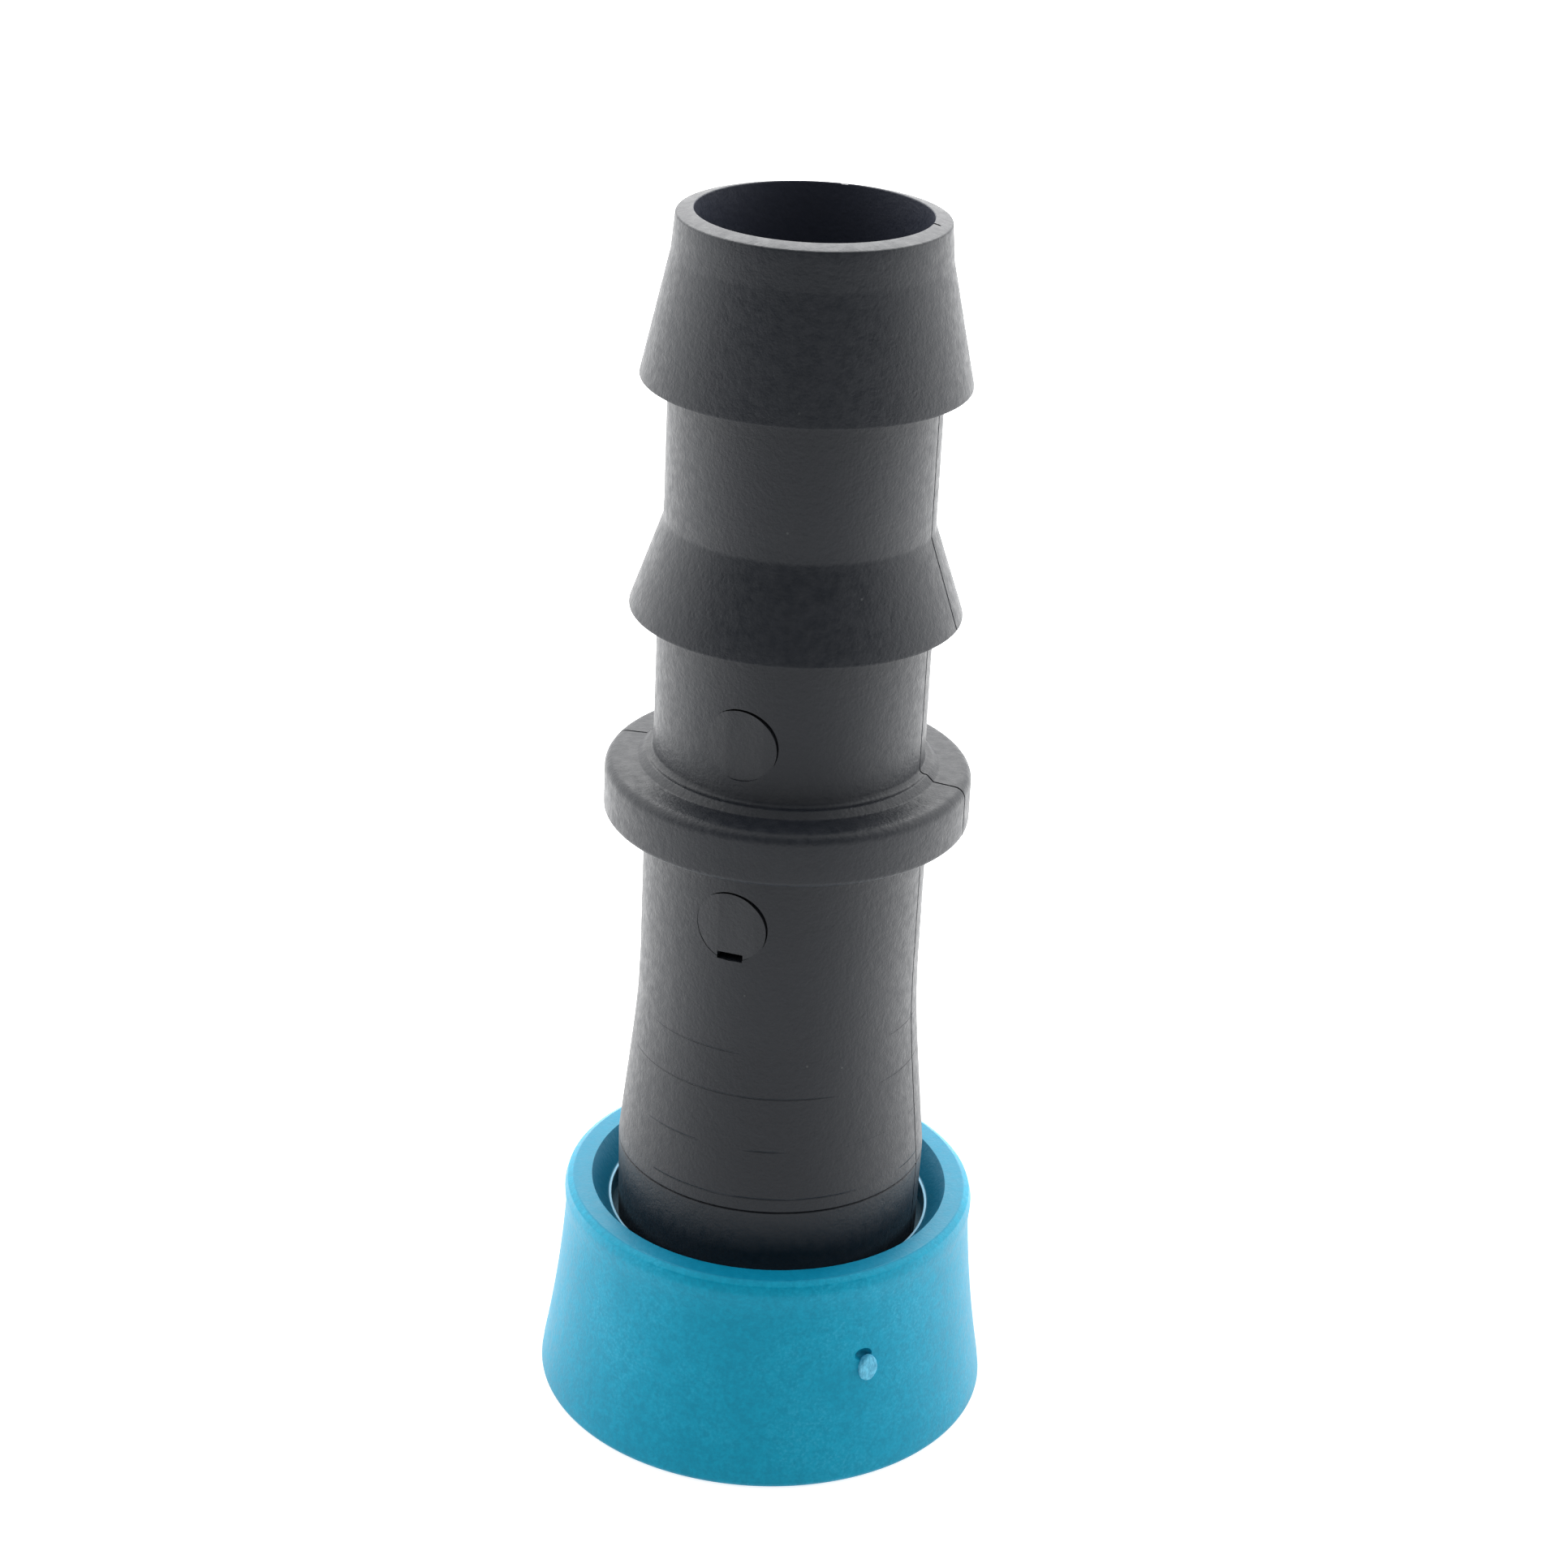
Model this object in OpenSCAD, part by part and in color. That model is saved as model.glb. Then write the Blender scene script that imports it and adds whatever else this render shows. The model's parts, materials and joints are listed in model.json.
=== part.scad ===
// Straight barbed connector for 16 mm drip pipe, standing in its locking ring.
// The body is one moulding, bored through from end to end. Its upper end has two
// barbs, its lower end is the pipe spigot with one bulge, and a flange parts them.
// The ring slides along the body: it grips the pipe over the bulge.
// All sizes are in millimetres. Z runs along the bore, and z = 0 is the surface
// that the spigot's end and the ring stand on.

/* [Flow bore] */
// Diameter of the water passage, straight from end to end
bore_d = 10.6; // [8:0.1:13]
// Bevel at each end of the passage
bore_bevel = 0.12; // [0.05:0.01:0.3]

/* [Barbed end] */
// Wall of the stem between the two barbs
stem1_wall = 0.93; // [0.8:0.01:2]
// Wall of the stem between the flange and the lower barb
stem2_wall = 1.09; // [0.8:0.01:2]
// Flange top to the crest of the lower barb
stem2_len = 7.6; // [5:0.05:12]
// Height of the lower barb's crest above its stem
barb2_rise = 1.31; // [0.6:0.01:2]
// Length of the lower barb's cone
barb2_len = 4.3; // [3:0.05:7]
// Lower barb's cone to the crest of the upper barb
stem1_len = 6.65; // [4:0.05:10]
// Height of the upper barb's crest above its stem
barb1_rise = 1.27; // [0.6:0.01:2]
// Length of the upper barb's cone
barb1_len = 5.65; // [4:0.05:9]
// Short cylindrical land on the crest of each barb
crest_land = 0.3; // [0.2:0.05:0.6]
// Length of the plain tip above the upper barb
tip_len = 1.95; // [1.2:0.05:4]
// Wall of the tip where the cone starts
tip_wall = 0.98; // [0.8:0.01:2]
// Taper of the tip on the radius
tip_taper = 0.16; // [0:0.01:0.3]
// Fall of the lip's face from the bore to its outer edge
lip_fall = 0.2; // [0:0.01:0.3]
// Rounding of the lip's outer edge, limited by its wall
lip_round = 0.15; // [0.05:0.01:0.6]

/* [Flange] */
// Thickness at the rim
flange_t = 2.7; // [1.5:0.05:5]
// Height of the rim above the spigot's stem
flange_rise = 1.93; // [1.2:0.01:4]
// Fall of the upper face from the collar to the rim
flange_fall = 0.13; // [0:0.01:0.4]
// Rounding of the rim's upper edge
flange_top_round = 0.55; // [0.1:0.01:0.7]
// Rounding of the rim's lower edge
flange_low_round = 0.4; // [0.05:0.01:0.5]
// Width of the small collar round the stem
collar_w = 0.12; // [0.1:0.01:0.8]
// Height of the collar above the upper face
collar_h = 0.27; // [0.05:0.01:0.5]
// Fillet where a stem meets a face
stem_fillet = 0.3; // [0.1:0.01:0.5]

/* [Spigot end] */
// Flange underside to the end of the spigot
spigot_len = 31; // [24:0.5:45]
// Wall of the spigot's stem
spigot_wall = 1.42; // [1:0.01:2.5]
// Height of the bulge's crest above the stem
bulge_rise = 0.8; // [0.4:0.01:1.5]
// End of the spigot to the middle of the bulge's crest
bulge_z = 13.25; // [10:0.05:16]
// Length of the bulge's upper cone
bulge_cone = 8; // [4:0.1:9]
// Length of the slow taper just under the crest
land_taper = 4.5; // [2:0.1:7]
// Fall of the slow taper on the radius
land_fall = 0.08; // [0.05:0.01:0.4]
// Wall at the spigot's end
nose_wall = 1; // [0.8:0.01:1.4]
// Rounding of the spigot's end
nose_round = 0.4; // [0.1:0.01:0.6]

/* [Locking ring] */
// Height of the ring
ring_h = 10.9; // [8:0.1:13]
// Gap on the radius between the bulge's crest and the grip bore
grip_gap = 0.33; // [0.3:0.01:1.2]
// Length of the grip bore
grip_len = 1.1; // [0.5:0.05:3]
// Depth of the lead-in above the grip bore
lead_in = 1.15; // [0.5:0.05:2]
// Gap on the radius between the flange's rim and the ring's mouth
mouth_gap = 0.15; // [0.1:0.01:0.6]
// Wall at the mouth
rim_wall = 1.34; // [0.9:0.01:2.5]
// Rounding of the mouth's outer edge
rim_round = 0.25; // [0.1:0.01:0.6]
// Waist under the rim, as a fall on the radius
waist_fall = 0.08; // [0.02:0.01:0.3]
// Mouth to the waist
waist_len = 1.6; // [1:0.05:2.5]
// Spread of the base beyond the rim, on the radius
base_spread = 1.06; // [0.4:0.01:2]
// Hollow of the flared side against a straight cone
side_hollow = 0.15; // [0.05:0.01:0.25]
// Wall at the base
base_wall = 1.4; // [1:0.01:2]
// Rounding of the base's outer edge
base_round = 0.3; // [0.1:0.01:0.6]
// Diameter of the gate's nub on the ring's side
nub_d = 1.1; // [0.5:0.05:2]
// Height of the nub above the side
nub_h = 0.22; // [0.1:0.01:0.4]
// Height of the nub above the base
nub_z = 5.8; // [4:0.1:7]
// Turn of the nub from the front towards +X, in degrees
nub_turn = 30; // [-90:0.5:90]

/* [Mould marks] */
// Diameter of the two flat marks on the stems
mark_d = 3.5; // [2:0.1:4]
// Depth of a mark at its middle
mark_depth = 0.3; // [0.1:0.01:0.4]
// Turn of the marks from the front towards +X, in degrees
mark_turn = -20; // [-180:1:180]
// Flange top to the middle of the upper mark
mark_rise = 3.05; // [2.6:0.05:5]
// Flange underside to the middle of the lower mark
mark_drop = 3.25; // [2.5:0.05:6]
// Width of the pit at the lower mark's foot
pit_w = 1.3; // [0.5:0.05:1.6]
// Height of the pit
pit_h = 0.4; // [0.2:0.05:0.8]
// Depth of the pit below the mark
pit_depth = 0.3; // [0.1:0.01:0.4]

/* [Hidden] */
$fn = 128;

// Radii of the body, all built up from the bore
bore_r = bore_d / 2;
stem1_r = bore_r + stem1_wall;
stem2_r = bore_r + stem2_wall;
barb1_r = stem1_r + barb1_rise;
barb2_r = stem2_r + barb2_rise;
tip_r = bore_r + tip_wall;
spigot_r = bore_r + spigot_wall;
bulge_r = spigot_r + bulge_rise;
land_r = bulge_r - land_fall;
nose_r = bore_r + nose_wall;
flange_r = spigot_r + flange_rise;
lip_rr = min(lip_round, tip_wall - tip_taper - bore_bevel);

// Heights of the body, from the spigot's end upwards
flange_z = spigot_len;
flange_top = flange_z + flange_t;
barb2_z = flange_top + stem2_len;
barb2_end = barb2_z + barb2_len;
barb1_z = barb2_end + stem1_len;
barb1_end = barb1_z + barb1_len;
top_z = barb1_end + tip_len;
half_land = crest_land / 2;

// Radii and heights of the ring, from what it slides over
grip_r = bulge_r + grip_gap;
mouth_r = flange_r + mouth_gap;
rim_r = mouth_r + rim_wall;
waist_r = rim_r - waist_fall;
base_r = rim_r + base_spread;
base_in_r = base_r - base_wall;
grip_top = ring_h - lead_in;
grip_low = grip_top - grip_len;
waist_z = ring_h - waist_len;
side_steps = 12;

// Points of an arc about [x, y], from angle a to angle b
function arc(x, y, r, a, b, n = 6) =
    [for (i = [0:n]) let (t = a + (b - a) * i / n) [x + r * cos(t), y + r * sin(t)]];

// Points of the ring's flared side, from the base up to the waist. The chord is
// bowed inwards by a parabola whose depth is side_hollow.
function side(t) = [
    base_r + (waist_r - base_r) * t - 4 * side_hollow * t * (1 - t),
    base_round + (waist_z - base_round) * t
];

// Half section of the body: bore, spigot, flange, barbs and lip
module body_section() {
    f = stem_fillet;
    polygon(concat(
        [[bore_r, bore_bevel], [bore_r + bore_bevel, 0]],
        arc(nose_r - nose_round, nose_round, nose_round, -90, 0),
        [
            [land_r, bulge_z - half_land - land_taper],
            [bulge_r, bulge_z - half_land],
            [bulge_r, bulge_z + half_land],
            [spigot_r, bulge_z + half_land + bulge_cone]
        ],
        arc(spigot_r + f, flange_z - f, f, 180, 90),
        arc(flange_r - flange_low_round, flange_z + flange_low_round,
            flange_low_round, -90, 0),
        arc(flange_r - flange_top_round, flange_top - flange_fall - flange_top_round,
            flange_top_round, 0, 80),
        [
            [stem2_r + f + collar_w + collar_h, flange_top],
            [stem2_r + f + collar_w, flange_top + collar_h]
        ],
        arc(stem2_r + f, flange_top + collar_h + f, f, -90, -180),
        [
            [stem2_r, barb2_z - f],
            [stem2_r + f * 0.5, barb2_z],
            [barb2_r, barb2_z],
            [barb2_r, barb2_z + crest_land],
            [stem1_r, barb2_end],
            [stem1_r, barb1_z - f],
            [stem1_r + f * 0.5, barb1_z],
            [barb1_r, barb1_z],
            [barb1_r, barb1_z + crest_land],
            [tip_r, barb1_end]
        ],
        arc(tip_r - tip_taper - lip_rr, top_z - lip_fall - lip_rr, lip_rr, 0, 75),
        [[bore_r + bore_bevel, top_z], [bore_r, top_z - bore_bevel]]
    ));
}

// Half section of the ring: grip bore, lead-in, mouth, waist and flared side
module ring_section() {
    polygon(concat(
        [[base_in_r, 0]],
        arc(base_r - base_round, base_round, base_round, -90, 0),
        [for (i = [1:side_steps]) side(i / side_steps)],
        [[rim_r, waist_z + (ring_h - waist_z - rim_round) * 0.6]],
        arc(rim_r - rim_round, ring_h - rim_round, rim_round, 0, 90),
        [[mouth_r, ring_h], [grip_r, grip_top], [grip_r, grip_low]]
    ));
}

// Nub left by the gate on the ring's side
module gate_nub() {
    t = (nub_z - base_round) / (waist_z - base_round);
    side_r = side(t)[0];
    rotate([0, 0, nub_turn - 90])
        translate([side_r - base_wall / 2, 0, nub_z])
            rotate([0, 90, 0])
                cylinder(h = base_wall / 2 + nub_h, d = nub_d, $fn = 32);
}

// Cutter for a flat mark at height z on a stem of radius r
module flat_mark(r, z) {
    rotate([0, 0, mark_turn - 90])
        translate([r - mark_depth, 0, z])
            rotate([0, 90, 0])
                cylinder(h = mark_depth * 2, d = mark_d, $fn = 64);
}

// Cutter for the pit at the lower mark's foot
module foot_pit() {
    rotate([0, 0, mark_turn - 90])
        translate([spigot_r - mark_depth - pit_depth, -pit_w / 2,
                   flange_z - mark_drop - mark_d / 2])
            cube([pit_depth + mark_depth * 2, pit_w, pit_h]);
}

module connector_body() {
    color([0.24, 0.25, 0.26])
        difference() {
            rotate_extrude() body_section();
            flat_mark(stem2_r, flange_top + mark_rise);
            flat_mark(spigot_r, flange_z - mark_drop);
            foot_pit();
        }
}

module locking_ring() {
    color([0.16, 0.57, 0.72]) {
        rotate_extrude() ring_section();
        gate_nub();
    }
}

connector_body();
locking_ring();
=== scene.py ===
"""Barbed drip pipe connector standing in its locking ring: shapes, finishes and studio.

Lengths inside the classes are millimetres, as on a drawing. Each piece is turned and
cut at that size and brought to metres as its last step. Azimuths are degrees from the
front, -Y, and grow towards +X.
"""
import json
import logging
import math
from dataclasses import dataclass
from enum import Enum
from typing import Any, Callable, Optional, Union

import bpy
from mathutils import Matrix, Vector

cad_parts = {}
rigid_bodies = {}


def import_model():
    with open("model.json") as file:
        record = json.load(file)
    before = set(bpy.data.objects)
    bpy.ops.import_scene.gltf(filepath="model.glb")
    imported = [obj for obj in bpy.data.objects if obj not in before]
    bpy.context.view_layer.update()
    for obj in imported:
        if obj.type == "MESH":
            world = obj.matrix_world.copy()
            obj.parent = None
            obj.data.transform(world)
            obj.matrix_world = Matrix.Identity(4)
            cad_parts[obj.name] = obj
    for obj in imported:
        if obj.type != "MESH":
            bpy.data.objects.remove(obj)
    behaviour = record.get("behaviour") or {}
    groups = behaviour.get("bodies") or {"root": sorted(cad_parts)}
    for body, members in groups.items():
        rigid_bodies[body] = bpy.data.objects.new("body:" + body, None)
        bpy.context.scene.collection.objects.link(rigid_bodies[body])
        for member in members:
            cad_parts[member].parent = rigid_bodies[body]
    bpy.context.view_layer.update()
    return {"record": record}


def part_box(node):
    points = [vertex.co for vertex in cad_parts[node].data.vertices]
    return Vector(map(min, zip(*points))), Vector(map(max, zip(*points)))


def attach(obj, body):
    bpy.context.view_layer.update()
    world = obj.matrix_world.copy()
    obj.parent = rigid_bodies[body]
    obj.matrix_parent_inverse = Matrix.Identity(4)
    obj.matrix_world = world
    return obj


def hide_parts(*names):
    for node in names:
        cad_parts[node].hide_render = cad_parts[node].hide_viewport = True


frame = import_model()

LOG = logging.getLogger("connector")
MM = 0.001
SMOOTH_ANGLE = math.radians(28)
TURN_STEPS = 256
# A corner more open than this is left as it is.
STRAIGHT = math.pi - 0.01
# Two roundings take up this share of the side between them at most.
RUN_SHARE = 0.98
# Points nearer together than this, in millimetres, are welded.
WELD_REACH = 0.0005
# Points nearer than this to a splitting plane count as lying on it.
SPLIT_REACH = 0.0001
# A wall that closes a section is divided where it is longer than this.
LONG_RUN = 20.0
LONG_RUN_CUTS = 12

Number = Union[float, "Value"]
Colour = tuple[float, float, float, float]


class Piece(Enum):
    """Names of the finished pieces."""

    BODY = "connector_body_shell"
    RING = "locking_ring_shell"
    NUB = "ring_gate_nub"


def compass(azimuth: float) -> Vector:
    """Gives the level unit vector at an azimuth in degrees from the front."""
    turn = math.radians(azimuth)
    return Vector((math.sin(turn), -math.cos(turn), 0.0))


# ---------------------------------------------------------------- drawing and section


@dataclass(frozen=True)
class Drawing:
    """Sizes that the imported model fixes, in millimetres.

    Args:
        record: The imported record.
    """

    record: dict

    def mount(self, name: str) -> dict:
        """Gives the record's mount of that name."""
        return next(m for m in self.record["mounts"] if m["name"] == name)

    def mount_radius(self, name: str) -> float:
        """Gives a round mount's radius."""
        return self.mount(name)["dims"]["r_mm"]

    def mount_height(self, name: str) -> float:
        """Gives the height of a mount's middle."""
        return self.mount(name)["pos_m"][2] / MM

    @staticmethod
    def height(node: str) -> float:
        """Gives a node's highest point."""
        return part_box(node)[1].z / MM

    @staticmethod
    def radius(node: str) -> float:
        """Gives a node's largest radius."""
        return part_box(node)[1].y / MM


@dataclass(frozen=True)
class Corner:
    """One corner of a half section.

    Args:
        r: Its distance from the axis.
        z: Its height.
        soft: The radius that rounds it off.
    """

    r: float
    z: float
    soft: float = 0.0


@dataclass(frozen=True)
class Section:
    """A closed half section made of corners.

    Args:
        corners: The corners in order round the outline.
        stride: Longest straight run left undivided.
        arc_step: Degrees of arc between two points of a rounding.
    """

    corners: tuple[Corner, ...]
    stride: float = 0.8
    arc_step: float = 15.0

    def points(self) -> list[tuple[float, float]]:
        """Rounds the corners and divides the long runs.

        Returns:
            The outline's points in order, as distance from the axis and height.
        """
        rounded: list[tuple[float, float]] = []
        count = len(self.corners)
        for i, corner in enumerate(self.corners):
            rounded += self._rounding(
                self.corners[i - 1], corner, self.corners[(i + 1) % count]
            )
        divided: list[tuple[float, float]] = []
        for i, (r, z) in enumerate(rounded):
            divided.append((r, z))
            if i + 1 < len(rounded):
                r_next, z_next = rounded[i + 1]
                cuts = int(math.hypot(r_next - r, z_next - z) / self.stride)
                for k in range(1, cuts + 1):
                    t = k / (cuts + 1)
                    divided.append((r + (r_next - r) * t, z + (z_next - z) * t))
        return divided

    def _rounding(
        self, before: Corner, at: Corner, after: Corner
    ) -> list[tuple[float, float]]:
        """Gives the points that take the place of one corner.

        Args:
            before: The corner before it.
            at: The corner to round.
            after: The corner after it.

        Returns:
            The arc's points, or the corner itself where it stays sharp.
        """
        here = Vector((at.r, at.z))
        back = Vector((before.r, before.z)) - here
        on = Vector((after.r, after.z)) - here
        if at.soft <= 0 or min(back.length, on.length) == 0:
            return [(at.r, at.z)]
        opening = back.angle(on)
        if opening > STRAIGHT:
            return [(at.r, at.z)]
        run = at.soft / math.tan(opening / 2)
        for side, other in ((back, before), (on, after)):
            share = at.soft / (at.soft + other.soft)
            run = min(run, RUN_SHARE * side.length * share)
        radius = run * math.tan(opening / 2)
        centre = here + (back.normalized() + on.normalized()).normalized() * (
            radius / math.sin(opening / 2)
        )
        start = here + back.normalized() * run - centre
        end = here + on.normalized() * run - centre
        sweep = start.angle_signed(end)
        steps = max(2, math.ceil(abs(math.degrees(sweep)) / self.arc_step))
        found = []
        for k in range(steps + 1):
            spoke = start.copy()
            spoke.rotate(Matrix.Rotation(-sweep * k / steps, 2))
            found.append(tuple(centre + spoke))
        return found


# ---------------------------------------------------------------- workshop


class Workshop:
    """Blender's own modelling operators, wrapped as a maker's steps."""

    @staticmethod
    def clear() -> None:
        """Leaves edit mode and deselects everything."""
        if bpy.context.object and bpy.context.object.mode != "OBJECT":
            bpy.ops.object.mode_set(mode="OBJECT")
        for thing in bpy.context.view_layer.objects:
            thing.select_set(False)

    @staticmethod
    def choose(piece: bpy.types.Object, test: Callable[[Vector], bool]) -> None:
        """Selects the vertices that pass a test, in edit mode.

        Args:
            piece: The object being edited.
            test: Says whether a vertex at this place is wanted.
        """
        bpy.ops.object.mode_set(mode="OBJECT")
        for part in (piece.data.polygons, piece.data.edges):
            part.foreach_set("select", [False] * len(part))
        piece.data.vertices.foreach_set(
            "select", [test(v.co) for v in piece.data.vertices]
        )
        bpy.ops.object.mode_set(mode="EDIT")
        bpy.ops.mesh.select_mode(type="VERT")

    @classmethod
    def lathe(cls, name: str, section: Section, azimuth: float) -> bpy.types.Object:
        """Turns a closed half section into a solid of revolution.

        Args:
            name: The piece's name.
            section: The half section.
            azimuth: Where one column of vertices stands.

        Returns:
            The piece, in millimetres.
        """
        points = section.points()
        (r, z), rest = points[0], points[1:]
        cls.clear()
        bpy.ops.mesh.primitive_circle_add(
            vertices=TURN_STEPS,
            radius=r,
            fill_type="NOTHING",
            location=(0, 0, z),
            rotation=(0, 0, math.radians(azimuth)),
        )
        piece = bpy.context.object
        piece.name = piece.data.name = name
        bpy.ops.object.transform_apply(location=True, rotation=True, scale=True)
        bpy.ops.object.mode_set(mode="EDIT")
        bpy.ops.mesh.select_mode(type="EDGE")
        bpy.ops.mesh.select_all(action="SELECT")
        for r_next, z_next in rest:
            bpy.ops.mesh.extrude_edges_move(
                TRANSFORM_OT_translate={"value": (0, 0, z_next - z)}
            )
            ratio = r_next / r
            bpy.ops.transform.resize(
                value=(ratio, ratio, 1), center_override=(0, 0, z_next)
            )
            r, z = r_next, z_next
        bpy.ops.mesh.select_all(action="DESELECT")
        bpy.ops.mesh.select_non_manifold()
        closing_run = abs(points[0][1] - z)
        bpy.ops.mesh.bridge_edge_loops(
            number_cuts=LONG_RUN_CUTS if closing_run > LONG_RUN else 0
        )
        bpy.ops.mesh.select_all(action="SELECT")
        bpy.ops.mesh.normals_make_consistent(inside=False)
        bpy.ops.object.mode_set(mode="OBJECT")
        return piece

    @classmethod
    def parting_groove(
        cls,
        piece: bpy.types.Object,
        azimuth: float,
        half: float,
        deep: float,
        wall: float,
        top: float,
    ) -> None:
        """Cuts the thin line that the two mould halves leave down both sides.

        Args:
            piece: The turned piece, with a column of vertices at the azimuth.
            azimuth: Where the parting plane meets the front half.
            half: Half the line's width.
            deep: The line's depth.
            wall: Vertices nearer the axis than this stay, so the bore stays plain.
            top: Height at which the line stops.
        """
        across = compass(azimuth + 90)
        bpy.context.view_layer.objects.active = piece
        for side in (-half, half):
            bpy.ops.object.mode_set(mode="EDIT")
            bpy.ops.mesh.select_all(action="SELECT")
            bpy.ops.mesh.bisect(
                plane_co=across * side, plane_no=across, threshold=SPLIT_REACH
            )
        cls.choose(
            piece,
            lambda co: abs(co.dot(across)) < half / 4
            and math.hypot(co.x, co.y) > wall
            and co.z < top,
        )
        bpy.ops.transform.shrink_fatten(value=-deep)
        bpy.ops.object.mode_set(mode="OBJECT")

    @classmethod
    def cut(cls, piece: bpy.types.Object, cutter: bpy.types.Object) -> None:
        """Takes a cutter's shape out of a piece and throws the cutter away.

        Args:
            piece: The piece to cut.
            cutter: The shape to take out.
        """
        cls.clear()
        bpy.context.view_layer.objects.active = piece
        piece.select_set(True)
        step = piece.modifiers.new("cut", "BOOLEAN")
        step.operation = "DIFFERENCE"
        step.solver = "EXACT"
        step.object = cutter
        bpy.ops.object.modifier_apply(modifier=step.name)
        bpy.data.objects.remove(cutter)

    @classmethod
    def finish(cls, piece: bpy.types.Object) -> bpy.types.Object:
        """Cleans a piece, smooths its round faces and brings it to metres.

        Args:
            piece: The piece in millimetres.

        Returns:
            The same piece, finished.
        """
        cls.clear()
        bpy.context.view_layer.objects.active = piece
        piece.select_set(True)
        bpy.ops.object.mode_set(mode="EDIT")
        bpy.ops.mesh.select_all(action="SELECT")
        bpy.ops.mesh.remove_doubles(threshold=WELD_REACH)
        bpy.ops.transform.resize(value=(MM, MM, MM), center_override=(0, 0, 0))
        bpy.ops.object.mode_set(mode="OBJECT")
        bpy.ops.object.shade_smooth_by_angle(angle=SMOOTH_ANGLE)
        return piece


# ---------------------------------------------------------------- shader sheet


class Value:
    """A number that varies over a surface, with Python's operators.

    Args:
        sheet: The node sheet that it is drawn on.
        socket: The output that carries it.
    """

    def __init__(self, sheet: "NodeSheet", socket: bpy.types.NodeSocket) -> None:
        """Keeps the sheet and the socket."""
        self.sheet = sheet
        self.socket = socket

    def _math(self, operation: str, first: Number, second: Number) -> "Value":
        """Adds one Math node."""
        node = self.sheet.node(
            "ShaderNodeMath", {"operation": operation}, {0: first, 1: second}
        )
        return Value(self.sheet, node.outputs[0])

    def __add__(self, other: Number) -> "Value":
        """Adds."""
        return self._math("ADD", self, other)

    __radd__ = __add__

    def __sub__(self, other: Number) -> "Value":
        """Takes away."""
        return self._math("SUBTRACT", self, other)

    def __rsub__(self, other: Number) -> "Value":
        """Is taken from a number."""
        return self._math("SUBTRACT", other, self)

    def __mul__(self, other: Number) -> "Value":
        """Multiplies."""
        return self._math("MULTIPLY", self, other)

    __rmul__ = __mul__

    def __truediv__(self, other: Number) -> "Value":
        """Divides."""
        return self._math("DIVIDE", self, other)

    def __pow__(self, other: Number) -> "Value":
        """Raises to a power."""
        return self._math("POWER", self, other)

    def size(self) -> "Value":
        """Gives the number without its sign."""
        return self._math("ABSOLUTE", self, 0.0)

    def ramp(self, low: float, high: float) -> "Value":
        """Rises smoothly from 0 at low to 1 at high, or falls where low is above high.

        Args:
            low: Where the result is 0.
            high: Where the result is 1.

        Returns:
            The share from 0 to 1.
        """
        turned = low > high
        node = self.sheet.node(
            "ShaderNodeMapRange",
            {"interpolation_type": "SMOOTHSTEP"},
            {
                0: self,
                1: min(low, high),
                2: max(low, high),
                3: float(turned),
                4: float(not turned),
            },
        )
        return Value(self.sheet, node.outputs[0])


def distance(x: Value, y: Value) -> Value:
    """Gives how far two coordinates are from zero together."""
    return (x * x + y * y) ** 0.5


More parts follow.
